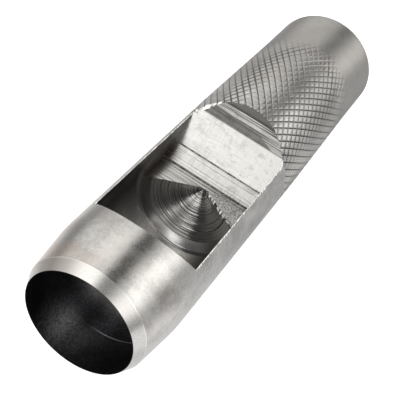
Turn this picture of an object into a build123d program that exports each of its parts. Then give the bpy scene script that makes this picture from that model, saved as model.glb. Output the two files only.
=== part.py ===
from build123d import *

import math
import os

# Drive hole punch. The tool lies along +X: the cutting edge is at x = 0 and the
# striking face at x = OVERALL_LENGTH. +Z is the side that the ejection window opens to.
# All sizes are in millimetres.

# Driving dimensions
CUT_DIAMETER = 20.0
BODY_RADIUS = 12.15
OVERALL_LENGTH = 97.7

# Cutting ring: hardened edge, seated in the front of the body by a thin sleeve
EDGE_FLAT = 0.05
BEVEL_LENGTH = 2.13
BEVEL_RADIUS = 11.12
LAND_LENGTH = 1.5
SLEEVE_END_X = 8.5
SLEEVE_OUTER_RADIUS = 10.75
SLEEVE_REAR_BORE_RADIUS = 10.35

# Body outside: tapered nose, plain barrel, slightly tapering grip, straight end band
NOSE_TAPER_END_X = 11.3
GRIP_TAPER_START_X = 58.3
GRIP_TAPER_END_X = 86.3
END_BAND_RADIUS = 11.76
END_CHAMFER = 0.5

# Blind hole behind the edge, left by a 118 degree drill
HOLE_RADIUS = 10.63
HOLE_APEX_X = 40.34
DRILL_HALF_ANGLE = 59.0

# Ejection window: a milled pocket with flat sides, and a ramp of flat facets at its rear
WINDOW_HALF_WIDTH = 9.9
WINDOW_FRONT_TOP_X = 12.9
WINDOW_FRONT_CORNER_X = 16.4
WINDOW_CORNER_Z = 7.03
FLOOR_Z = 0.6
RAMP_FOOT_X = 42.0
RAMP_KNEE = (45.4, 2.43)
FACET_LINE = (50.5, 7.9)
FACET_TOP = (53.6, BODY_RADIUS)
CUTTER_OVERRUN = 3.0

CUT_RADIUS = CUT_DIAMETER / 2
HOLE_END_X = HOLE_APEX_X - HOLE_RADIUS / math.tan(math.radians(DRILL_HALF_ANGLE))


def turned(points):
    """Solid of revolution about the X axis from a closed outline of (x, radius) points."""
    outline = Polyline(*points, close=True)
    return revolve(make_face(outline), axis=Axis.X)


def extended(start, end, height):
    """Point on the line from start through end, carried on to z = height."""
    share = (height - start[1]) / (end[1] - start[1])
    return (start[0] + share * (end[0] - start[0]), height)


def make_cutting_ring():
    """Bevelled edge with a short cylindrical land, relieved behind it, and a locating sleeve."""
    return turned([
        (0, CUT_RADIUS),
        (0, CUT_RADIUS + EDGE_FLAT),
        (BEVEL_LENGTH, BEVEL_RADIUS),
        (BEVEL_LENGTH, SLEEVE_OUTER_RADIUS),
        (SLEEVE_END_X, SLEEVE_OUTER_RADIUS),
        (SLEEVE_END_X, SLEEVE_REAR_BORE_RADIUS),
        (LAND_LENGTH, CUT_RADIUS),
    ])


def make_bar():
    """The turned and bored bar, before the window is milled."""
    return turned([
        (BEVEL_LENGTH, SLEEVE_OUTER_RADIUS),
        (BEVEL_LENGTH, BEVEL_RADIUS),
        (NOSE_TAPER_END_X, BODY_RADIUS),
        (GRIP_TAPER_START_X, BODY_RADIUS),
        (GRIP_TAPER_END_X, END_BAND_RADIUS),
        (OVERALL_LENGTH - END_CHAMFER, END_BAND_RADIUS),
        (OVERALL_LENGTH, END_BAND_RADIUS - END_CHAMFER),
        (OVERALL_LENGTH, 0),
        (HOLE_APEX_X, 0),
        (HOLE_END_X, HOLE_RADIUS),
        (SLEEVE_END_X, HOLE_RADIUS),
        (SLEEVE_END_X, SLEEVE_OUTER_RADIUS),
    ])


def make_window_cutter():
    """The volume milled away for the window, pocket floor and ejection ramp."""
    top = BODY_RADIUS + CUTTER_OVERRUN
    front_top = (WINDOW_FRONT_TOP_X, BODY_RADIUS)
    front_corner = (WINDOW_FRONT_CORNER_X, WINDOW_CORNER_Z)
    side_view = [
        extended(front_corner, front_top, top),
        extended(front_top, front_corner, FLOOR_Z),
        (RAMP_FOOT_X, FLOOR_Z),
        RAMP_KNEE,
        FACET_LINE,
        extended(FACET_LINE, FACET_TOP, top),
    ]
    outline = Plane.XZ * Polyline(*side_view, close=True)
    return extrude(make_face(outline), amount=WINDOW_HALF_WIDTH, both=True)


def make_punch_body():
    return make_bar() - make_window_cutter()


PARTS = {
    "cutting_ring": make_cutting_ring,
    "punch_body": make_punch_body,
}

os.makedirs("parts", exist_ok=True)
for node, make in PARTS.items():
    solid = make()
    solid.label = node
    export_step(solid, f"parts/{node}.step")
    print(node, round(solid.volume, 1), "mm3")
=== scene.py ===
import math
import random

import bmesh
import bpy
from mathutils import Matrix, Vector


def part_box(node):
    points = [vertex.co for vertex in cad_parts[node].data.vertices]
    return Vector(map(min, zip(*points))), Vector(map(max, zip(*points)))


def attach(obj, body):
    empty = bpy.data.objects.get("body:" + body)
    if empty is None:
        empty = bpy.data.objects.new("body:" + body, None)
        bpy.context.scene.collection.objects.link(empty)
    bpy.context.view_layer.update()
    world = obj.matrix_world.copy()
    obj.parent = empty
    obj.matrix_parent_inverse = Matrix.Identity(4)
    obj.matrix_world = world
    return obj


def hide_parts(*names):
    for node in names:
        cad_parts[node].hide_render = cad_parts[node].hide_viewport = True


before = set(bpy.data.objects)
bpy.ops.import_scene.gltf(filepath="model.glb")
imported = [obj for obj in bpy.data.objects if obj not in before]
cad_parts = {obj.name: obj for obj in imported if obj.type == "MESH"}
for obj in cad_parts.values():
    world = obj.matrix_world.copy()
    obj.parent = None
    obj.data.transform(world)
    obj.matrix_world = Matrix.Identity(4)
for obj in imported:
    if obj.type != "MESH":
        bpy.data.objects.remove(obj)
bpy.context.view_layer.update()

# ---------------------------------------------------------------- sizes
# Everything is in millimetres until a mesh is finished, then scaled to metres. The tool lies
# along +X with its edge at x = 0, and its window opens to +Z.
MM = 0.001
BODY_LOW, BODY_HIGH = (Vector(corner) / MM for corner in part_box("punch_body"))
RING_LOW, RING_HIGH = (Vector(corner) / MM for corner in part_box("cutting_ring"))

BODY_RADIUS = (BODY_HIGH.z - BODY_LOW.z) / 2
TOOL_LENGTH = BODY_HIGH.x
BEVEL_LENGTH = BODY_LOW.x
BEVEL_RADIUS = (RING_HIGH.z - RING_LOW.z) / 2
SLEEVE_END_X = RING_HIGH.x
CUT_RADIUS = 10.0
EDGE_FLAT = 0.05
LAND_LENGTH = 1.5
SLEEVE_OUTER_RADIUS = 10.75
SLEEVE_REAR_BORE_RADIUS = 10.35

NOSE_TAPER_END_X = 11.3
GRIP_TAPER_START_X = 58.3
GRIP_TAPER_END_X = 86.3
END_BAND_RADIUS = 11.76
END_CHAMFER = 0.5

HOLE_RADIUS = 10.63
HOLE_APEX_X = 40.34
DRILL_HALF_ANGLE = 59.0
CONE_SLOPE = math.tan(math.radians(DRILL_HALF_ANGLE))
HOLE_END_X = HOLE_APEX_X - HOLE_RADIUS / CONE_SLOPE
HOLE_SEGMENTS = 196
HOLE_SEED = 7
# A smooth band, as radii, and fine rings inside it. Single rings that stand out are given by row,
# with how far the wall is moved toward the struck end.
CONE_ROWS = 110
CONE_BAND = (8.5, 10.1)
CONE_BAND_DEPTH = 0.06
CONE_RING_HEIGHT = 0.012
CONE_DEEP_RINGS = {40: 0.11, 41: -0.04, 52: 0.07, 67: 0.06}
# Centre of a painted reflection patch on the wall of the dark mouth
REFLECTION_PATCH = (4.3, 4.5, -9.3)

WINDOW_HALF_WIDTH = 9.9
WINDOW_FRONT_TOP = (12.9, BODY_RADIUS)
WINDOW_FRONT_CORNER = (16.4, 7.03)
WINDOW_COLUMNS = 12
WINDOW_SEED = 11
FLOOR_Z = 0.6
RAMP_FOOT = (42.0, FLOOR_Z)
RAMP_KNEE = (45.4, 2.43)
FACET_LINE = (50.5, 7.9)
FACET_TOP = (53.6, BODY_RADIUS)
FACET_MARK = (51.7, 9.6)
FACET_RIDGE = (52.6, 10.85)
CUTTER_OVERRUN = 3.0
# Cutter marks across the pocket: (distance from the run's start, half width, depth below it)
FLOOR_MARKS = [(4.75, 0.11, 0.03), (5.15, 0.07, -0.05), (5.62, 0.26, 0.03)]
RAMP_MARKS = [(0.45, 0.08, -0.05), (1.1, 0.03, 0.01), (2.7, 0.03, 0.01), (3.72, 0.2, 0.025)]
FACET_MARKS = [(0.3, 0.07, -0.05), (0.8, 0.08, -0.06)]
MARK_CLEARANCE = 1.3
MARKED_FLOOR_START = (RAMP_FOOT[0] - 6.0, FLOOR_Z)
# Runs of the floor and ramp: (start, end, spacing of the fine marks, their height, cutter marks)
MARKED_RUNS = [
    (MARKED_FLOOR_START, RAMP_FOOT, 0.2, 0.010, FLOOR_MARKS),
    (RAMP_FOOT, RAMP_KNEE, 0.3, 0.010, RAMP_MARKS),
    (RAMP_KNEE, FACET_LINE, 0.45, 0.003, []),
    (FACET_LINE, FACET_MARK, 0.3, 0.008, []),
    (FACET_MARK, FACET_RIDGE, 0.14, 0.018, FACET_MARKS),
    (FACET_RIDGE, FACET_TOP, 0.5, 0.003, []),
]

# Filed and torn edges of the window. A pair of widths is from the path's start to its end.
EDGE_SEED = 23
EDGE_STEP = 0.3
EDGE_UNEVEN = 0.55
EDGE_LIMIT_Y = WINDOW_HALF_WIDTH - 0.02
WEDGE_LAP = 0.02
WEDGE_REACH = 0.8
# How far a wedge goes over the barrel and down the other face, for a width of 1
LONG_EDGE_DOWN = 0.6
ACROSS_EDGE_OVER = 0.6
ACROSS_EDGE_DOWN = 1.1
LONG_EDGE_X = (WINDOW_FRONT_CORNER[0] - 0.1, 49.7)
LONG_EDGE_WIDTH = 0.33
LONG_EDGE_RAGGED = 0.19
FRONT_EDGE_WIDTHS = (0.12, 0.12)
REAR_BURR_WIDTHS = (1.2, 0.18)
REAR_BURR_END_Y = 6.0
CORNER_BURR_WIDTHS = (0.22, 0.022)
CORNER_TIP_Y = -math.sqrt(BODY_RADIUS**2 - FACET_LINE[1]**2)
CONE_BURR_WIDTH = 0.28
CONE_BURR_UNEVEN = 0.85
CONE_BURR_Y = (-0.4, -9.5)

# Diamond knurl: two families of helical grooves
KNURL_STARTS = 49
KNURL_START_X = 50.2
KNURL_END_X = 88.0
KNURL_CELL_LENGTH = 2.56
KNURL_STEPS = 8
KNURL_DEPTH = 0.2
KNURL_RUN_IN = 0.7
KNURL_RUN_OUT = 16.0
# Share of the depth at a whole number of grid steps from a groove's centre
KNURL_GROOVE = {0: 1.0, 1: 0.16, 2: 0.03}

SEGMENTS = KNURL_STARTS * KNURL_STEPS
RING_SHARP_DEGREES = 14
BODY_SHARP_DEGREES = 24
# Keeps a comparison of places clear of rounding
TINY = 1e-6

# ---------------------------------------------------------------- light and camera
ROOM_LIGHT = 0.45
# Each: strength, (degrees round the axis where it rises from, to, falls from, to), and the same
# four for the x part of the direction
SOFT_BOXES = [
    (0.60, (-15, 25, 74, 90), (-0.84, -0.74, 0.6, 1.4)),
    (1.05, (22, 55, 74, 92), (-0.84, -0.74, -0.1, 0.7)),
    (1.50, (104, 136, 145, 172), (-0.84, -0.74, 0.6, 1.1)),
    (0.80, (15, 45, 75, 100), (-1.10, -1.05, -0.93, -0.87)),
    (1.00, (140, 155, 175, 190), (-1.10, -1.05, -0.93, -0.87)),
]
# The dark gap between the boxes, overhead, and the share of the room's light it takes
GAP_AROUND = (78, 88, 100, 112)
GAP_ALONG = (-0.5, 0.3, 0.6, 1.0)
GAP_SHARE = 0.9

FLOOR_HALF_SIZE = 3.0
FLOOR_LIGHT = 1.3
# What the eye sees of the floor: a grey with its own light, so that shadows stay soft
FLOOR_GREY = 0.5
FLOOR_ROUGHNESS = 0.9
FLOOR_GLOW = 0.85
# Fall-off of the light on the floor in body radii: (full at, least at, share left)
FLOOR_FAR_SIDE = (1.4, 5.0, 0.6)
FLOOR_FAR_END = (-0.5, 5.5, 0.52)
# A strip of painted shadow in the floor's light on the near side of the tool, in body radii
FLOOR_STRIP = (-2.8, -2.0, -0.9, 0.0)
FLOOR_STRIP_SHARE = 0.25

# The place is in body radii
CAMERA_PLACE = Vector((-6.3052, -2.3588, 9.1303))
CAMERA_RIGHT = Vector((0.4798, -0.8294, 0.2863))
CAMERA_UP = Vector((0.5201, 0.5317, 0.6684))
CAMERA_LENS = 79.2
CAMERA_SENSOR = 36.0
CAMERA_CLIP_START = 0.01


# ---------------------------------------------------------------- mesh helpers
def smoothstep(low, high, value):
    share = min(1.0, max(0.0, (value - low) / (high - low)))
    return share * share * (3 - 2 * share)


def along(start, end, spacing):
    """Points from start, left out, to end, kept, at about the spacing given."""
    length = math.dist(start, end)
    count = max(1, round(length / spacing))
    return [
        (start[0] + (end[0] - start[0]) * i / count, start[1] + (end[1] - start[1]) * i / count)
        for i in range(1, count + 1)
    ]


def extended(start, end, height):
    """Point on the line from start through end, carried on to that height."""
    share = (height - start[1]) / (end[1] - start[1])
    return (start[0] + share * (end[0] - start[0]), height)


def new_object(name, mesh):
    piece = bpy.data.objects.new(name, mesh)
    bpy.context.scene.collection.objects.link(piece)
    return piece


def mesh_from(name, vertices, faces, materials=(), finishes=None):
    """A mesh from its points and faces. finishes gives each face's index in materials."""
    mesh = bpy.data.meshes.new(name)
    mesh.from_pydata([tuple(v) for v in vertices], [], faces)
    for material in materials:
        mesh.materials.append(material)
    if finishes:
        mesh.polygons.foreach_set("material_index", finishes)
    mesh.update()
    return mesh


def lathe(name, profile, segments=SEGMENTS, closed=False, relief=None, materials=(), finish=None):
    """Solid of revolution about X. A profile point at radius 0 is a single vertex.

    relief(x, radius, column, row) may change the radius of a vertex, and finish(x, radius) gives
    the index of the material at the middle of a row of faces.
    """
    vertices, rows = [], []
    for row, (x, radius) in enumerate(profile):
        if radius == 0:
            rows.append([len(vertices)])
            vertices.append((x, 0, 0))
            continue
        start = len(vertices)
        for column in range(segments):
            turn = 2 * math.pi * column / segments
            r = relief(x, radius, column, row) if relief else radius
            vertices.append((x, r * math.sin(turn), r * math.cos(turn)))
        rows.append(list(range(start, start + segments)))
    count = len(profile) if closed else len(profile) - 1
    faces, finishes = [], []
    for row in range(count):
        near, far = rows[row], rows[(row + 1) % len(rows)]
        here, there = profile[row], profile[(row + 1) % len(rows)]
        index = finish((here[0] + there[0]) / 2, (here[1] + there[1]) / 2) if finish else 0
        finishes += [index] * segments
        for column in range(segments):
            following = (column + 1) % segments
            if len(near) == 1 and len(far) > 1:
                faces.append((near[0], far[following], far[column]))
            elif len(far) == 1 and len(near) > 1:
                faces.append((near[column], near[following], far[0]))
            elif len(near) > 1:
                faces.append((near[column], near[following], far[following], far[column]))
    return mesh_from(name, vertices, faces, materials, finishes)


def make_outward(mesh):
    """Turns every face outward and returns the mesh."""
    bm = bmesh.new()
    bm.from_mesh(mesh)
    bmesh.ops.recalc_face_normals(bm, faces=bm.faces)
    if bm.calc_volume(signed=True) < 0:
        bmesh.ops.reverse_faces(bm, faces=bm.faces)
    bm.to_mesh(mesh)
    bm.free()
    return mesh


def triangulated(mesh):
    bm = bmesh.new()
    bm.from_mesh(mesh)
    bmesh.ops.triangulate(bm, faces=bm.faces)
    bm.to_mesh(mesh)
    bm.free()
    return mesh


def cut(piece, cutter):
    """Takes the cutter's volume out of the piece and removes the cutter."""
    modifier = piece.modifiers.new("cut", "BOOLEAN")
    modifier.operation = "DIFFERENCE"
    modifier.solver = "MANIFOLD"
    modifier.material_mode = "TRANSFER"
    modifier.object = cutter
    depsgraph = bpy.context.evaluated_depsgraph_get()
    mesh = bpy.data.meshes.new_from_object(piece.evaluated_get(depsgraph))
    piece.modifiers.clear()
    old = piece.data
    piece.data = mesh
    bpy.data.meshes.remove(old)
    bpy.data.objects.remove(cutter)


def finish_mesh(piece, sharp_degrees):
    """Scales to metres and smooths all but the sharp edges."""
    piece.data.transform(Matrix.Scale(MM, 4))
    piece.data.shade_smooth()
    piece.data.set_sharp_from_angle(angle=math.radians(sharp_degrees))


# ---------------------------------------------------------------- cutting ring
def ring_profile():
    """Closed outline from the mouth's inner rim round the bevel and sleeve."""
    bevel_rows = 6
    chamfer = 0.12
    edge_radius = CUT_RADIUS + EDGE_FLAT
    points = [(0, CUT_RADIUS), (0, edge_radius)]
    for row in range(1, bevel_rows + 1):
        share = row / bevel_rows
        points.append((BEVEL_LENGTH * share, edge_radius + (BEVEL_RADIUS - edge_radius) * share))
    points += [
        (BEVEL_LENGTH, SLEEVE_OUTER_RADIUS),
        (SLEEVE_END_X, SLEEVE_OUTER_RADIUS),
        (SLEEVE_END_X, SLEEVE_REAR_BORE_RADIUS + chamfer),
        (SLEEVE_END_X - chamfer, SLEEVE_REAR_BORE_RADIUS),
        (LAND_LENGTH, CUT_RADIUS),
    ]
    return points


def make_ring(outside, inside):
    def finish(x, radius):
        return 0 if radius > CUT_RADIUS + 2 * EDGE_FLAT and x < BEVEL_LENGTH else 1

    mesh = lathe(
        "cutting_ring_mesh", ring_profile(), closed=True, materials=(outside, inside), finish=finish
    )
    ring = new_object("cutting_ring_visual", make_outward(mesh))
    finish_mesh(ring, RING_SHARP_DEGREES)
    return ring


# ---------------------------------------------------------------- body
def grip_radius(x):
    share = (x - GRIP_TAPER_START_X) / (GRIP_TAPER_END_X - GRIP_TAPER_START_X)
    share = min(1.0, max(0.0, share))
    return BODY_RADIUS + (END_BAND_RADIUS - BODY_RADIUS) * share


def bar_profile():
    """Open outline of the bar, from the axis at the mouth end to the axis at the struck end."""
    nose_rows = 10
    points = [(BEVEL_LENGTH, 0), (BEVEL_LENGTH, SLEEVE_OUTER_RADIUS), (BEVEL_LENGTH, BEVEL_RADIUS)]
    # The taper runs into the barrel over a short round.
    blend = 1.6
    slope = (BODY_RADIUS - BEVEL_RADIUS) / (NOSE_TAPER_END_X - BEVEL_LENGTH)
    for row in range(1, nose_rows + 1):
        x = BEVEL_LENGTH + (NOSE_TAPER_END_X - blend - BEVEL_LENGTH) * row / nose_rows
        points.append((x, BEVEL_RADIUS + slope * (x - BEVEL_LENGTH)))
    blend_rows = 8
    for row in range(1, blend_rows + 1):
        share = row / blend_rows
        x = NOSE_TAPER_END_X - blend + 2 * blend * share
        rise = slope * blend * (2 * share - share * share)
        points.append((x, BODY_RADIUS - slope * blend + rise))
    barrel_rows = 12
    start = NOSE_TAPER_END_X + blend
    for row in range(1, barrel_rows):
        points.append((start + (KNURL_START_X - start) * row / barrel_rows, BODY_RADIUS))
    step = KNURL_CELL_LENGTH / KNURL_STEPS
    rows = round((KNURL_END_X - KNURL_START_X) / step)
    for row in range(rows + 1):
        x = KNURL_START_X + row * step
        points.append((x, grip_radius(x)))
    band_rows = 8
    start = points[-1][0]
    end = TOOL_LENGTH - END_CHAMFER
    for row in range(1, band_rows + 1):
        x = start + (end - start) * row / band_rows
        points.append((x, grip_radius(x)))
    round_rows = 5
    for row in range(1, round_rows + 1):
        turn = math.pi / 2 * row / round_rows
        points.append((
            end + END_CHAMFER * math.sin(turn),
            END_BAND_RADIUS - END_CHAMFER * (1 - math.cos(turn)),
        ))
    face_rows = 6
    rim = END_BAND_RADIUS - END_CHAMFER
    for row in range(1, face_rows + 1):
        points.append((TOOL_LENGTH, rim * (1 - row / face_rows)))
    return points


def knurl_relief(first_row):
    """Relief for lathe(): the diamonds, running in at the front and fading out at the rear."""
    def relief(x, radius, column, row):
        if not KNURL_START_X <= x <= KNURL_END_X:
            return radius
        row -= first_row
        fade = smoothstep(KNURL_START_X, KNURL_START_X + KNURL_RUN_IN, x)
        fade *= 1 - smoothstep(KNURL_END_X - KNURL_RUN_OUT, KNURL_END_X, x)
        depth = 0
        for phase in (column + row, column - row):
            phase %= KNURL_STEPS
            depth = max(depth, KNURL_GROOVE.get(min(phase, KNURL_STEPS - phase), 0.0))
        return radius - KNURL_DEPTH * fade * depth
    return relief


def split_along_grooves(mesh, first_row, last_row, profile):
    """Triangulates knurl quads so that the edges run along the grooves, not across them."""
    bm = bmesh.new()
    bm.from_mesh(mesh)
    bm.verts.ensure_lookup_table()
    singles = sum(1 for x, radius in profile[:first_row] if radius == 0)
    offset = singles + (first_row - singles) * SEGMENTS

    def place(vertex):
        index = vertex.index - offset
        return index // SEGMENTS, index % SEGMENTS

    for face in list(bm.faces):
        if len(face.verts) != 4:
            continue
        spots = [place(v) for v in face.verts]
        if min(r for r, c in spots) < 0 or max(r for r, c in spots) > last_row - first_row:
            continue
        row = min(r for r, c in spots)
        columns = sorted({c for r, c in spots})
        column = columns[-1] if columns == [0, SEGMENTS - 1] else columns[0]
        rising = (column - row) % KNURL_STEPS == 0
        wanted = [(row, column), (row + 1, (column + 1) % SEGMENTS)]
        if not rising:
            wanted = [(row + 1, column), (row, (column + 1) % SEGMENTS)]
        ends = [v for v, spot in zip(face.verts, spots) if spot in wanted]
        if len(ends) == 2:
            bmesh.utils.face_split(face, ends[0], ends[1])
    bm.to_mesh(mesh)
    bm.free()


def make_bar(turned):
    profile = bar_profile()
    first_row = next(i for i, (x, radius) in enumerate(profile) if x >= KNURL_START_X - TINY)
    last_row = max(i for i, (x, radius) in enumerate(profile) if x <= KNURL_END_X + TINY)

    mesh = lathe("punch_body_mesh", profile, relief=knurl_relief(first_row), materials=(turned,))
    split_along_grooves(mesh, first_row, last_row, profile)
    return new_object("punch_body_visual", make_outward(mesh))


def cone_profile(rng):
    """Drilled hole's end: a smooth band near the rim, then fine rings left by the drill."""
    points = []
    for row in range(1, CONE_ROWS):
        radius = HOLE_RADIUS * (1 - row / CONE_ROWS)
        ring = CONE_DEEP_RINGS.get(row, 0.0)
        if radius < CONE_BAND[0]:
            ring += rng.uniform(-CONE_RING_HEIGHT, CONE_RING_HEIGHT)
        elif radius < CONE_BAND[1]:
            # The smooth band is slightly hollow.
            share = (radius - CONE_BAND[0]) / (CONE_BAND[1] - CONE_BAND[0])
            ring += CONE_BAND_DEPTH * math.sin(math.pi * share)
        points.append((HOLE_APEX_X - radius / CONE_SLOPE + ring, radius))
    points.append((HOLE_APEX_X, 0))
    return points


def make_hole(bored, drilled):
    front = BEVEL_LENGTH - CUTTER_OVERRUN
    points = [
        (front, 0),
        (front, SLEEVE_OUTER_RADIUS),
        (SLEEVE_END_X, SLEEVE_OUTER_RADIUS),
        (SLEEVE_END_X, HOLE_RADIUS),
    ]
    points += along(points[-1], (HOLE_END_X, HOLE_RADIUS), 2.5)
    points += cone_profile(random.Random(HOLE_SEED))

    def finish(x, radius):
        return 0 if x < HOLE_END_X else 1

    mesh = lathe("hole_mesh", points, segments=HOLE_SEGMENTS, materials=(bored, drilled), finish=finish)
    return new_object("hole", make_outward(mesh))


def marked_run(start, end, spacing, height, marks, rng):
    """A run from start, left out, to end, kept, with fine random marks and the cutter marks.

    Gives (point, deep), where deep says that a sunk cutter mark goes on from this point.
    """
    run = Vector(end) - Vector(start)
    direction = run.normalized()
    normal = Vector((-direction.y, direction.x))
    count = max(1, round(run.length / spacing))
    bumps = {run.length * index / count: rng.uniform(-height, height) for index in range(1, count)}
    for centre, half_width, depth in marks:
        clear = half_width * MARK_CLEARANCE
        bumps = {at: bump for at, bump in bumps.items() if abs(at - centre) > clear}
        for side in (-1, 1):
            bumps[centre + side * half_width] = 0.0
            bumps[centre + side * half_width / 2] = -depth
    points = []
    for at in sorted(bumps):
        deep = any(
            depth > 0 and -half_width - TINY <= at - centre < half_width - TINY
            for centre, half_width, depth in marks
        )
        points.append((tuple(Vector(start) + direction * at + normal * bumps[at]), deep))
    points.append((end, False))
    return points


def window_side_view(rng):
    """Closed outline of the milled pocket in XZ, as (point, deep)."""
    top = BODY_RADIUS + CUTTER_OVERRUN
    front_high = extended(WINDOW_FRONT_CORNER, WINDOW_FRONT_TOP, top)
    front_low = extended(WINDOW_FRONT_TOP, WINDOW_FRONT_CORNER, FLOOR_Z)
    facet_high = extended(FACET_LINE, FACET_TOP, top)
    front = [front_high, *along(front_high, front_low, 4.0), *along(front_low, MARKED_FLOOR_START, 6.0)]
    outline = [(point, False) for point in front]
    for start, end, spacing, height, marks in MARKED_RUNS:
        outline += marked_run(start, end, spacing, height, marks, rng)
    outline += [(point, False) for point in along(FACET_TOP, facet_high, 2.0)]
    return outline


def make_window_cutter(milled, shaded, grooved):
    outline = window_side_view(random.Random(WINDOW_SEED))
    count = len(outline)
    width = WINDOW_COLUMNS + 1
    vertices, faces, finishes = [], [], []
    for (x, z), _ in outline:
        for column in range(width):
            vertices.append((x, WINDOW_HALF_WIDTH * (2 * column / WINDOW_COLUMNS - 1), z))
    for row, (_, deep) in enumerate(outline):
        following = (row + 1) % count
        for column in range(WINDOW_COLUMNS):
            faces.append((
                row * width + column,
                row * width + column + 1,
                following * width + column + 1,
                following * width + column,
            ))
            finishes.append(2 if deep else 0)
    for column in (0, WINDOW_COLUMNS):
        faces.append(tuple(row * width + column for row in range(count)))
        finishes.append(1)
    mesh = mesh_from("window_mesh", vertices, faces, (milled, shaded, grooved), finishes)
    return new_object("window", triangulated(make_outward(mesh)))


def chamfer_cutter(name, path, burr):
    """A wedge swept along an edge, which takes the edge off.

    Each place on the path is (corner, point on one face, point on the other face).
    """
    vertices = []
    for corner, one, other in path:
        outward = (corner - (one + other) / 2).normalized()
        vertices += [
            one + (one - corner) * WEDGE_LAP,
            corner + outward * WEDGE_REACH,
            other + (other - corner) * WEDGE_LAP,
        ]
    last = 3 * (len(path) - 1)
    faces = [(0, 1, 2), (last, last + 1, last + 2)]
    for row in range(0, last, 3):
        for side in range(3):
            following = (side + 1) % 3
            faces.append((row + side, row + following, row + 3 + following, row + 3 + side))
    mesh = mesh_from(name + "_mesh", vertices, faces, (burr,))
    return new_object(name, triangulated(make_outward(mesh)))


def round_step(corner, distance):
    """The point that lies that far round the barrel from a point on it, away from the window."""
    turn = distance / BODY_RADIUS * (1 if corner.y > 0 else -1)
    y = corner.y * math.cos(turn) + corner.z * math.sin(turn)
    return Vector((corner.x, y, corner.z * math.cos(turn) - corner.y * math.sin(turn)))


def long_edge_path(side, rng):
    """The filed edge between the window's upright side and the barrel."""
    start, end = LONG_EDGE_X
    count = round((end - start) / EDGE_STEP)
    path = []
    for index in range(count + 1):
        x = start + (end - start) * index / count
        corner = Vector((x, side * WINDOW_HALF_WIDTH, WINDOW_FRONT_CORNER[1]))
        width = LONG_EDGE_WIDTH + rng.uniform(-LONG_EDGE_RAGGED, LONG_EDGE_RAGGED)
        down = corner - Vector((0, 0, width * LONG_EDGE_DOWN))
        path.append((corner, round_step(corner, width), down))
    return path


def on_barrel(low, high, y):
    """Where a line in the side view, seen as a plane across the tool, meets the barrel at y."""
    x, z = extended(low, high, math.sqrt(BODY_RADIUS**2 - y**2))
    return Vector((x, y, z))


def across_edge_path(low, high, y_range, forward, widths, rng):
    """An edge where a milled face across the tool meets the barrel.

    low and high are the face's line in the side view, and forward is 1 or -1: the way along x
    from the edge on to the barrel.
    """
    slope = Vector((high[0] - low[0], 0, high[1] - low[1])).normalized()
    start, end = y_range
    count = max(2, round(abs(end - start) / EDGE_STEP))
    path = []
    for index in range(count + 1):
        share = index / count
        corner = on_barrel(low, high, start + (end - start) * share)
        width = widths[0] + (widths[1] - widths[0]) * share
        width *= rng.uniform(1 - EDGE_UNEVEN, 1 + EDGE_UNEVEN)
        over = corner + Vector((forward * width * ACROSS_EDGE_OVER, 0, 0))
        path.append((corner, over, corner - slope * width * ACROSS_EDGE_DOWN))
    return path


def on_cone(y, z):
    """The point of the drilled cone's wall at that y and z."""
    return Vector((HOLE_APEX_X - math.hypot(y, z) / CONE_SLOPE, y, z))


def cone_edge_path(rng):
    """The torn edge where the pocket's floor breaks into the drilled cone."""
    start, end = CONE_BURR_Y
    count = round((start - end) / EDGE_STEP)
    path = []
    for index in range(count + 1):
        y = start + (end - start) * index / count
        corner = on_cone(y, FLOOR_Z)
        width = CONE_BURR_WIDTH * rng.uniform(1 - CONE_BURR_UNEVEN, 1 + CONE_BURR_UNEVEN)
        path.append((corner, corner + Vector((width, 0, 0)), on_cone(y, FLOOR_Z - width)))
    return path


def make_edge_cutters(burr, torn):
    """One wedge for each edge of the window. They share one set of random draws, in this order."""
    rng = random.Random(EDGE_SEED)
    yield chamfer_cutter("left_edge", long_edge_path(1, rng), burr)
    yield chamfer_cutter("right_edge", long_edge_path(-1, rng), burr)
    full_width = (EDGE_LIMIT_Y, -EDGE_LIMIT_Y)
    # (name, low, high, y range, forward, widths)
    across = [
        ("front_edge", WINDOW_FRONT_CORNER, WINDOW_FRONT_TOP, full_width, -1, FRONT_EDGE_WIDTHS),
        ("rear_edge", FACET_LINE, FACET_TOP, (EDGE_LIMIT_Y, REAR_BURR_END_Y), 1, REAR_BURR_WIDTHS),
        ("corner_edge", RAMP_KNEE, FACET_LINE, (-EDGE_LIMIT_Y, CORNER_TIP_Y), 1, CORNER_BURR_WIDTHS),
    ]
    for name, low, high, y_range, forward, widths in across:
        yield chamfer_cutter(name, across_edge_path(low, high, y_range, forward, widths, rng), burr)
    yield chamfer_cutter("cone_edge", cone_edge_path(rng), torn)


def make_body(finishes):
    body = make_bar(finishes["turned"])
    cut(body, make_hole(finishes["bored"], finishes["drilled"]))
    cut(body, make_window_cutter(finishes["milled"], finishes["shaded"], finishes["grooved"]))
    for cutter in make_edge_cutters(finishes["burr"], finishes["milled"]):
        cut(body, cutter)
    finish_mesh(body, BODY_SHARP_DEGREES)
    return body


# ---------------------------------------------------------------- materials
def add(tree, kind, settings=None, inputs=None, output=0):
    """Adds a node, sets its properties and sockets, and returns one of its outputs."""
    node = tree.nodes.new("ShaderNode" + kind)
    for key, value in (settings or {}).items():
        setattr(node, key, value)
    for key, value in (inputs or {}).items():
        if isinstance(value, bpy.types.NodeSocket):
            tree.links.new(value, node.inputs[key])
        else:
            node.inputs[key].default_value = value
    return node.outputs[output]


def math_node(tree, operation, first, second=0.0):
    return add(tree, "Math", {"operation": operation}, {0: first, 1: second})


def product(tree, *values):
    result = values[0]
    for value in values[1:]:
        result = math_node(tree, "MULTIPLY", result, value)
    return result


def weighted(tree, *terms):
    """Sum of terms, each (value, weight)."""
    total = None
    for value, weight in terms:
        part = product(tree, value, weight)
        total = math_node(tree, "ADD", total, part) if total else part
    return total


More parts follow.
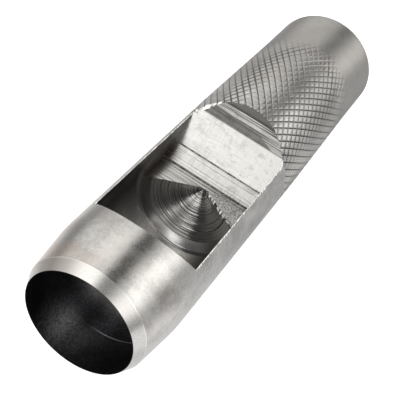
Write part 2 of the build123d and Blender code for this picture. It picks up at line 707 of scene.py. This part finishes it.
def smooth_range(tree, value, low, high, out_low=0.0, out_high=1.0):
    return add(
        tree,
        "MapRange",
        {"interpolation_type": "SMOOTHSTEP"},
        {"Value": value, "From Min": low, "From Max": high, "To Min": out_low, "To Max": out_high},
    )


def band(tree, value, rise_from, rise_to, fall_from, fall_to):
    """1 between rise_to and fall_from, going smoothly to 0 at the outer pair."""
    rise = smooth_range(tree, value, rise_from, rise_to)
    fall = smooth_range(tree, value, fall_from, fall_to, 1, 0)
    return product(tree, rise, fall)


def linear_range(tree, value, low, high, out_low, out_high):
    return add(
        tree,
        "MapRange",
        {},
        {"Value": value, "From Min": low, "From Max": high, "To Min": out_low, "To Max": out_high},
    )


def stretched(tree, point, x, y, z):
    return add(tree, "VectorMath", {"operation": "MULTIPLY"}, {0: point, 1: (x, y, z)})


class Steel:
    """A steel finish under construction: its node tree and the point on the piece in millimetres."""

    def __init__(self, name, roughness, anisotropic=0.0):
        self.material = bpy.data.materials.new(name)
        self.material.use_nodes = True
        self.tree = self.material.node_tree
        self.shader = self.tree.nodes["Principled BSDF"]
        self.shader.inputs["Metallic"].default_value = 1.0
        self.shader.inputs["Roughness"].default_value = roughness
        self.roughness = roughness
        if anisotropic:
            # The marks run round the X axis, so the sheen is drawn out across them.
            self.shader.inputs["Anisotropic"].default_value = anisotropic
            self.shader.inputs["Anisotropic Rotation"].default_value = 0.25
            tangent = add(self.tree, "Tangent", {"direction_type": "RADIAL", "axis": "X"})
            self.tree.links.new(tangent, self.shader.inputs["Tangent"])
        coordinates = self.tree.nodes.new("ShaderNodeTexCoord").outputs["Object"]
        self.point = stretched(self.tree, coordinates, 1 / MM, 1 / MM, 1 / MM)
        split = self.tree.nodes.new("ShaderNodeSeparateXYZ")
        self.tree.links.new(self.point, split.inputs[0])
        self.x, self.y, self.z = split.outputs
        self.height = None

    def radius(self):
        """Distance from the tool's axis."""
        flat = stretched(self.tree, self.point, 0, 1, 1)
        node = self.tree.nodes.new("ShaderNodeVectorMath")
        node.operation = "LENGTH"
        self.tree.links.new(flat, node.inputs[0])
        return node.outputs["Value"]

    def noise(self, scale, stretch=(1, 1, 1), detail=2.0, roughness=0.5):
        """Noise about 0.5, with scale in features per millimetre before the stretch."""
        point = stretched(self.tree, self.point, *stretch)
        return add(
            self.tree,
            "TexNoise",
            {"noise_dimensions": "3D"},
            {"Vector": point, "Scale": scale, "Detail": detail, "Roughness": roughness},
        )

    def ring_noise(self, scale, detail=2.0, roughness=0.5):
        """Noise that changes only with the distance from the tool's axis."""
        return add(
            self.tree,
            "TexNoise",
            {"noise_dimensions": "1D"},
            {"W": self.radius(), "Scale": scale, "Detail": detail, "Roughness": roughness},
        )

    def mixed(self, first, second, share):
        """A colour between two, each a colour or a socket."""
        first, second = (c if isinstance(c, bpy.types.NodeSocket) else (*c, 1) for c in (first, second))
        inputs = {"Factor": share, "A": first, "B": second}
        return add(self.tree, "Mix", {"data_type": "RGBA"}, inputs, output=2)

    def colour(self, first, second, share):
        """Gives the surface a colour between two."""
        self.tree.links.new(self.mixed(first, second, share), self.shader.inputs["Base Color"])

    def vary_roughness(self, share, amount, extra=0.0):
        """Roughness from minus to plus the amount about its middle, as share goes over its usual range.

        extra is added to it.
        """
        low, high = self.roughness - amount, self.roughness + amount
        value = linear_range(self.tree, share, 0.25, 0.75, low, high)
        value = math_node(self.tree, "ADD", value, extra)
        self.tree.links.new(value, self.shader.inputs["Roughness"])

    def raise_by(self, value, millimetres):
        """Adds a value times a height to the relief."""
        part = product(self.tree, value, millimetres)
        self.height = math_node(self.tree, "ADD", part, self.height) if self.height else part

    def finish(self):
        if self.height:
            bump = add(self.tree, "Bump", {}, {"Strength": 1.0, "Distance": MM, "Height": self.height})
            self.tree.links.new(bump, self.shader.inputs["Normal"])
        return self.material


# Stretch that draws noise out into lines round the tool's axis
ROUND_THE_AXIS = (1, 0.02, 0.02)


def turned_steel():
    """Nose, barrel and grip: fine turned lines and handling smudges, painted shade in the knurl's grooves,
    and a painted sheen behind the nose.
    """
    steel = Steel("turned_steel", 0.27, 0.35)
    tree = steel.tree
    lines = steel.noise(3.0, ROUND_THE_AXIS, detail=3.0, roughness=0.7)
    grain = steel.noise(2.2, detail=3.0, roughness=0.6)
    smudge = steel.noise(0.16, (0.7, 1.3, 1.3), detail=4.0)
    mottle = steel.noise(0.55, (1.2, 0.8, 0.8), detail=4.0, roughness=0.7)
    mix = weighted(tree, (smudge, 0.5), (grain, 0.2), (mottle, 0.3))
    front = steel.mixed((0.40, 0.39, 0.377), (0.61, 0.60, 0.583), smooth_range(tree, mix, 0.38, 0.62))
    back = steel.mixed((0.34, 0.33, 0.317), (0.44, 0.428, 0.41), smooth_range(tree, mix, 0.3, 0.7))
    metal = steel.mixed(front, back, smooth_range(tree, steel.x, 52.0, 86.0))
    # Painted sheen: lighter on the +Y side, just behind the nose
    painted_side_light = product(
        tree,
        smooth_range(tree, steel.x, 8.0, 13.0),
        smooth_range(tree, steel.y, 5.5, 9.0, 0.0, 0.6),
        smooth_range(tree, steel.x, 20.0, 40.0, 1.0, 0.0),
    )
    metal = steel.mixed(metal, (0.68, 0.64, 0.60), painted_side_light)
    # Brown stain in patches, most on the nose
    stain = product(
        tree,
        smooth_range(tree, steel.noise(0.1), 0.42, 0.62),
        smooth_range(tree, steel.x, 7.0, 20.0, 0.9, 0.15),
        smooth_range(tree, steel.y, -1.0, 6.0, 0.15, 1.0),
    )
    metal = steel.mixed(metal, (0.50, 0.43, 0.38), stain)
    # Painted shade wherever the surface lies below the grip's own radius
    nominal = linear_range(
        tree, steel.x, GRIP_TAPER_START_X, GRIP_TAPER_END_X, BODY_RADIUS, END_BAND_RADIUS
    )
    depth = math_node(tree, "SUBTRACT", nominal, steel.radius())
    groove_shade = product(
        tree,
        smooth_range(tree, depth, 0.0, 0.14),
        band(tree, steel.x, KNURL_START_X - 1, KNURL_START_X, KNURL_END_X, KNURL_END_X + 1),
    )
    steel.colour(metal, (0.22, 0.215, 0.21), groove_shade)
    steel.vary_roughness(mix, 0.08, smooth_range(tree, steel.x, 45.0, 80.0, 0.0, 0.1))
    # The struck end's flat face was turned in rings.
    on_end = smooth_range(tree, steel.x, TOOL_LENGTH - 0.2, TOOL_LENGTH - 0.1)
    steel.raise_by(product(tree, steel.ring_noise(2.5), on_end), 0.02)
    steel.raise_by(lines, 0.008)
    steel.raise_by(grain, 0.005)
    steel.raise_by(mottle, 0.012)
    return steel.finish()


def edge_steel():
    """Bevel of the cutting ring: ground, finer than the nose, with a painted highlight line where the body
    starts.
    """
    steel = Steel("edge_steel", 0.26, 0.4)
    tree = steel.tree
    lines = steel.noise(5.0, ROUND_THE_AXIS)
    grain = steel.noise(3.0, detail=3.0, roughness=0.6)
    metal = steel.mixed((0.49, 0.48, 0.465), (0.55, 0.54, 0.525), smooth_range(tree, grain, 0.3, 0.7))
    metal = steel.mixed(metal, (0.38, 0.345, 0.315), smooth_range(tree, steel.y, 0.0, 8.0, 0.0, 0.8))
    # A painted highlight line where the body starts, strongest toward the sides
    seam_highlight = product(
        tree,
        smooth_range(tree, steel.x, BEVEL_LENGTH - 0.22, BEVEL_LENGTH - 0.12),
        smooth_range(tree, math_node(tree, "ABSOLUTE", steel.y), 3.0, 7.0, 0.05, 0.4),
    )
    steel.colour(metal, (0.78, 0.77, 0.75), seam_highlight)
    steel.vary_roughness(grain, 0.02)
    steel.raise_by(lines, 0.003)
    steel.raise_by(grain, 0.0006)
    return steel.finish()


def bored_steel():
    """Inside of the tube: painted near-black as shade at the mouth end, bare and dull further in, with a
    painted reflection patch and painted highlight line.
    """
    steel = Steel("bored_steel", 0.42)
    tree = steel.tree
    patch = steel.noise(0.2, detail=3.0)
    grain = steel.noise(2.5, detail=3.0, roughness=0.7)
    mix = weighted(tree, (patch, 0.4), (grain, 0.6))
    away = add(tree, "VectorMath", {"operation": "DISTANCE"}, {0: steel.point, 1: REFLECTION_PATCH}, output=1)
    painted_reflection = product(tree, smooth_range(tree, away, 0.5, 6.5, 1, 0), smooth_range(tree, grain, 0.1, 0.9))
    # A painted highlight line at the sleeve's end, toward the -Y side
    seam_highlight = product(
        tree,
        band(tree, steel.x, SLEEVE_END_X - 0.4, SLEEVE_END_X - 0.3, SLEEVE_END_X, SLEEVE_END_X + 0.05),
        smooth_range(tree, steel.y, 1.5, -3.0),
    )
    mouth_shade = steel.mixed((0.02, 0.02, 0.023), (0.05, 0.05, 0.055), smooth_range(tree, mix, 0.4, 0.65))
    mouth_shade = steel.mixed(mouth_shade, (0.26, 0.26, 0.27), painted_reflection)
    mouth_shade = steel.mixed(mouth_shade, (0.30, 0.30, 0.31), seam_highlight)
    bare = steel.mixed((0.36, 0.35, 0.34), (0.62, 0.60, 0.58), smooth_range(tree, mix, 0.35, 0.65))
    # Painted shade: the walls are dark above and on the -Y side.
    lower = product(
        tree,
        smooth_range(tree, steel.z, -7.5, 0.5, 1.0, 0.1),
        smooth_range(tree, steel.y, -8.5, -2.0, 0.12, 1.0),
    )
    bare = steel.mixed((0.03, 0.028, 0.028), bare, lower)
    # Painted near-black shade at the mouth end, going over to the bare wall further in
    steel.colour(mouth_shade, bare, smooth_range(tree, steel.x, 11.0, 24.0))
    steel.raise_by(grain, 0.005)
    return steel.finish()


def drilled_steel():
    """Cone left by the drill: fine rings with painted highlights near the tip, a smooth band outside them
    with a painted highlight on part of it, and a rubbed side.
    """
    steel = Steel("drilled_steel", 0.24, 0.7)
    tree = steel.tree
    radius = steel.radius()
    rings = steel.ring_noise(3.6, detail=3.0, roughness=0.75)
    ridge = smooth_range(tree, rings, 0.38, 0.62)
    inner, outer = CONE_BAND
    smooth = band(tree, radius, inner - 0.1, inner + 0.1, outer - 0.1, outer + 0.1)
    # The drill rubbed the -Y side smooth.
    rubbed = smooth_range(tree, steel.y, -1.2, -3.5)
    near_tip = band(tree, radius, 0.9, 1.6, 2.6, 3.6)
    band_highlight = band(tree, steel.y, -7.5, -4.5, 0.5, 4.5)
    # Painted light: the ring valleys are lighter toward the +Y side
    valley = steel.mixed((0.17, 0.162, 0.157), (0.34, 0.32, 0.305), smooth_range(tree, steel.y, 1.0, 6.0))
    ringed = steel.mixed(valley, (0.60, 0.59, 0.575), ridge)
    ringed = steel.mixed(ringed, (0.30, 0.295, 0.29), product(tree, rubbed, 0.75))
    # Painted highlights on the ridges near the tip
    tip_highlight = steel.mixed((0.32, 0.315, 0.31), (0.95, 0.94, 0.93), ridge)
    ringed = steel.mixed(ringed, tip_highlight, near_tip)
    # Painted highlight on part of the smooth band, and its darker rest
    smooth_colour = steel.mixed((0.32, 0.31, 0.30), (0.90, 0.89, 0.87), band_highlight)
    steel.colour(ringed, smooth_colour, smooth)
    worn_away = math_node(tree, "MAXIMUM", smooth, product(tree, rubbed, 0.6))
    left = math_node(tree, "SUBTRACT", 1.0, worn_away)
    steel.raise_by(product(tree, rings, left), 0.07)
    return steel.finish()


def milled_steel():
    """Ramp and floor of the window: bright, with marks across and faint scratches down the slope.

    The upper facet is painted darker as shade and streaked across, and the end of the floor by the wall is
    darkened by painted shade and an oil stain.
    """
    steel = Steel("milled_steel", 0.2)
    tree = steel.tree
    across = steel.noise(2.6, (1, 0.05, 1), detail=3.0, roughness=0.7)
    down = steel.noise(2.0, (0.1, 1, 0.1), detail=3.0, roughness=0.7)
    smudge = steel.noise(0.5, (1, 0.45, 1), detail=4.0, roughness=0.65)
    streaks = steel.noise(4.2, (1, 0.015, 1), detail=3.0, roughness=0.7)
    mix = weighted(tree, (smudge, 0.4), (across, 0.35), (down, 0.25))
    # Ramp
    ramp = steel.mixed((0.40, 0.395, 0.38), (0.52, 0.515, 0.50), smooth_range(tree, mix, 0.38, 0.58))
    # Painted light: the ramp is lighter toward -Y, leaving it darker toward the +Y wall where shade falls
    ramp = steel.mixed(ramp, (0.60, 0.595, 0.58), smooth_range(tree, steel.y, 4.0, -10.0, 0.0, 0.7))
    blotch = steel.noise(0.9, (0.5, 0.5, 1), detail=4.0, roughness=0.75)
    ramp = steel.mixed(ramp, (0.34, 0.335, 0.315), smooth_range(tree, blotch, 0.5, 0.64, 0.0, 0.6))
    # Floor in front of the ramp, torn on the -Y side
    floor = steel.mixed((0.22, 0.215, 0.20), (0.62, 0.61, 0.59), smooth_range(tree, streaks, 0.36, 0.58))
    torn = smooth_range(tree, steel.noise(3.0, detail=3.0, roughness=0.8), 0.42, 0.58)
    torn = steel.mixed((0.16, 0.156, 0.15), (0.60, 0.59, 0.57), torn)
    floor = steel.mixed(floor, torn, smooth_range(tree, steel.y, -1.5, -3.5, 0.0, 0.8))
    metal = steel.mixed(floor, ramp, smooth_range(tree, steel.x, RAMP_FOOT[0] - 0.2, RAMP_FOOT[0] + 0.6))
    # Upper facet: painted darker than the ramp as shade, darker still at its crest, with a streaked strip
    # between
    streaked = steel.mixed((0.16, 0.156, 0.15), (0.7, 0.69, 0.67), smooth_range(tree, streaks, 0.42, 0.62))
    upper = steel.mixed((0.19, 0.186, 0.18), (0.29, 0.285, 0.275), smooth_range(tree, mix, 0.38, 0.62))
    crest = smooth_range(tree, steel.x, FACET_RIDGE[0] - 0.1, FACET_RIDGE[0])
    upper = steel.mixed(upper, (0.12, 0.117, 0.112), crest)
    slanted = math_node(tree, "ADD", steel.x, linear_range(tree, steel.y, -3.0, -7.0, 0.0, 0.9))
    strip = product(
        tree,
        smooth_range(tree, slanted, FACET_LINE[0] + 0.85, FACET_LINE[0] + 1.0),
        math_node(tree, "SUBTRACT", 1.0, crest),
    )
    upper = steel.mixed(upper, streaked, strip)
    metal = steel.mixed(metal, upper, smooth_range(tree, steel.x, FACET_LINE[0] - 0.05, FACET_LINE[0] + 0.05))
    # Darkened in the corner by the +Y wall: painted shade from the wall, with an oil stain
    darkening = product(
        tree,
        smooth_range(tree, steel.y, 6.5, 9.7),
        smooth_range(tree, steel.x, RAMP_FOOT[0] + 1, RAMP_KNEE[0] + 1.5, 1, 0),
    )
    steel.colour(metal, (0.08, 0.07, 0.065), darkening)
    steel.vary_roughness(smudge, 0.05)
    steel.raise_by(across, 0.006)
    steel.raise_by(down, 0.004)
    return steel.finish()


def grooved_steel():
    """Deep cutter marks: dull, painted dark as shade in the grooves, darker in places."""
    steel = Steel("grooved_steel", 0.45)
    darkening = steel.noise(0.8, detail=3.0, roughness=0.7)
    steel.colour((0.27, 0.262, 0.25), (0.10, 0.096, 0.09), smooth_range(steel.tree, darkening, 0.4, 0.6))
    return steel.finish()


def shaded_steel():
    """Upright sides of the window: dull, painted dark brown as shade, darkest at the front."""
    steel = Steel("shaded_steel", 0.38)
    across = steel.noise(3.0, (1, 1, 0.1), detail=2.0, roughness=0.6)
    side = steel.mixed((0.09, 0.082, 0.08), (0.17, 0.158, 0.154), smooth_range(steel.tree, across, 0.3, 0.7))
    # Painted shade, deepest toward the front of the window
    steel.colour((0.02, 0.02, 0.021), side, smooth_range(steel.tree, steel.x, 14.0, 34.0, 0.15, 1.0))
    steel.raise_by(across, 0.006)
    return steel.finish()


def burr_steel():
    """Filed edge of the window: bare filed metal, painted brighter still as a highlight, broken into short
    facets.
    """
    steel = Steel("burr_steel", 0.30)
    facets = steel.noise(1.8, (1, 0.3, 0.3), detail=3.0, roughness=0.8)
    # The filed metal's colour, lightened further as a painted highlight
    steel.colour((0.62, 0.61, 0.59), (0.92, 0.91, 0.89), smooth_range(steel.tree, facets, 0.42, 0.56))
    steel.raise_by(facets, 0.02)
    return steel.finish()


# ---------------------------------------------------------------- stage
def make_world():
    """A white surround to the eye. In reflections, soft boxes that lie along the tool's axis."""
    world = bpy.data.worlds.new("studio")
    bpy.context.scene.world = world
    world.use_nodes = True
    tree = world.node_tree
    tree.nodes.clear()
    coordinates = tree.nodes.new("ShaderNodeTexCoord").outputs["Generated"]
    split = tree.nodes.new("ShaderNodeSeparateXYZ")
    tree.links.new(coordinates, split.inputs[0])
    x, y, z = split.outputs
    # Angle round the tool's axis in degrees: 0 at +Y, 90 at +Z, 180 at -Y
    around = math_node(tree, "DEGREES", math_node(tree, "ARCTAN2", z, y))

    gap = product(tree, band(tree, around, *GAP_AROUND), band(tree, x, *GAP_ALONG))
    total = math_node(tree, "SUBTRACT", ROOM_LIGHT, product(tree, gap, ROOM_LIGHT * GAP_SHARE))
    for strength, around_limits, along_limits in SOFT_BOXES:
        lit = product(tree, band(tree, around, *around_limits), band(tree, x, *along_limits))
        total = math_node(tree, "ADD", total, product(tree, lit, strength))

    studio = add(tree, "Background", {}, {"Color": (1, 0.99, 0.97, 1), "Strength": total})
    white = add(tree, "Background", {}, {"Color": (1, 1, 1, 1), "Strength": 1.0})
    seen = tree.nodes.new("ShaderNodeLightPath").outputs["Is Camera Ray"]
    out = tree.nodes.new("ShaderNodeOutputWorld")
    mixed = add(tree, "MixShader", {}, {0: seen, 1: studio, 2: white})
    tree.links.new(mixed, out.inputs["Surface"])


def make_floor():
    """White to the eye, with soft shadows. In reflections, light that falls off away from the tool."""
    size = FLOOR_HALF_SIZE
    corners = [(-size, -size, 0), (size, -size, 0), (size, size, 0), (-size, size, 0)]
    mesh = mesh_from("floor_mesh", corners, [(0, 1, 2, 3)])
    floor = new_object("floor", mesh)
    radius = BODY_RADIUS * MM
    floor.location.z = -radius
    material = bpy.data.materials.new("floor_white")
    material.use_nodes = True
    tree = material.node_tree
    shader = tree.nodes["Principled BSDF"]
    shader.inputs["Base Color"].default_value = (FLOOR_GREY, FLOOR_GREY, FLOOR_GREY, 1)
    shader.inputs["Roughness"].default_value = FLOOR_ROUGHNESS
    shader.inputs["Emission Color"].default_value = (1, 1, 1, 1)
    shader.inputs["Emission Strength"].default_value = FLOOR_GLOW

    point = tree.nodes.new("ShaderNodeTexCoord").outputs["Object"]
    split = tree.nodes.new("ShaderNodeSeparateXYZ")
    tree.links.new(stretched(tree, point, 1 / radius, 1 / radius, 1 / radius), split.inputs[0])
    x, y, z = split.outputs
    side_from, side_to, side_left = FLOOR_FAR_SIDE
    end_from, end_to, end_left = FLOOR_FAR_END
    # Painted shadow in the floor's light beside the tool
    strip = product(tree, band(tree, y, *FLOOR_STRIP), FLOOR_STRIP_SHARE)
    sideways = math_node(tree, "SUBTRACT", smooth_range(tree, y, side_from, side_to, 1.0, side_left), strip)
    lengthways = smooth_range(tree, x, end_from, end_to, 1.0, end_left)
    strength = product(tree, sideways, lengthways, FLOOR_LIGHT)
    lit = add(tree, "Emission", {}, {"Color": (1, 1, 1, 1), "Strength": strength})
    seen = tree.nodes.new("ShaderNodeLightPath").outputs["Is Camera Ray"]
    mixed = add(tree, "MixShader", {}, {0: seen, 1: lit, 2: shader.outputs[0]})
    tree.links.new(mixed, tree.nodes["Material Output"].inputs["Surface"])
    mesh.materials.append(material)


def make_camera():
    data = bpy.data.cameras.new("camera")
    data.sensor_width = CAMERA_SENSOR
    data.lens = CAMERA_LENS
    data.clip_start = CAMERA_CLIP_START
    camera = bpy.data.objects.new("camera", data)
    bpy.context.scene.collection.objects.link(camera)
    right = CAMERA_RIGHT.normalized()
    up = CAMERA_UP.normalized()
    rotation = Matrix((right, up, right.cross(up))).transposed()
    place = CAMERA_PLACE * (BODY_RADIUS * MM)
    camera.matrix_world = Matrix.Translation(place) @ rotation.to_4x4()
    bpy.context.scene.camera = camera


# ---------------------------------------------------------------- assembly
make_camera()
make_world()
make_floor()

finishes = {
    "turned": turned_steel(),
    "edge": edge_steel(),
    "bored": bored_steel(),
    "drilled": drilled_steel(),
    "milled": milled_steel(),
    "shaded": shaded_steel(),
    "grooved": grooved_steel(),
    "burr": burr_steel(),
}

ring = make_ring(finishes["edge"], finishes["bored"])
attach(ring, "root")
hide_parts("cutting_ring")

body = make_body(finishes)
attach(body, "root")
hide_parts("punch_body")

bpy.context.scene.view_settings.view_transform = "Standard"
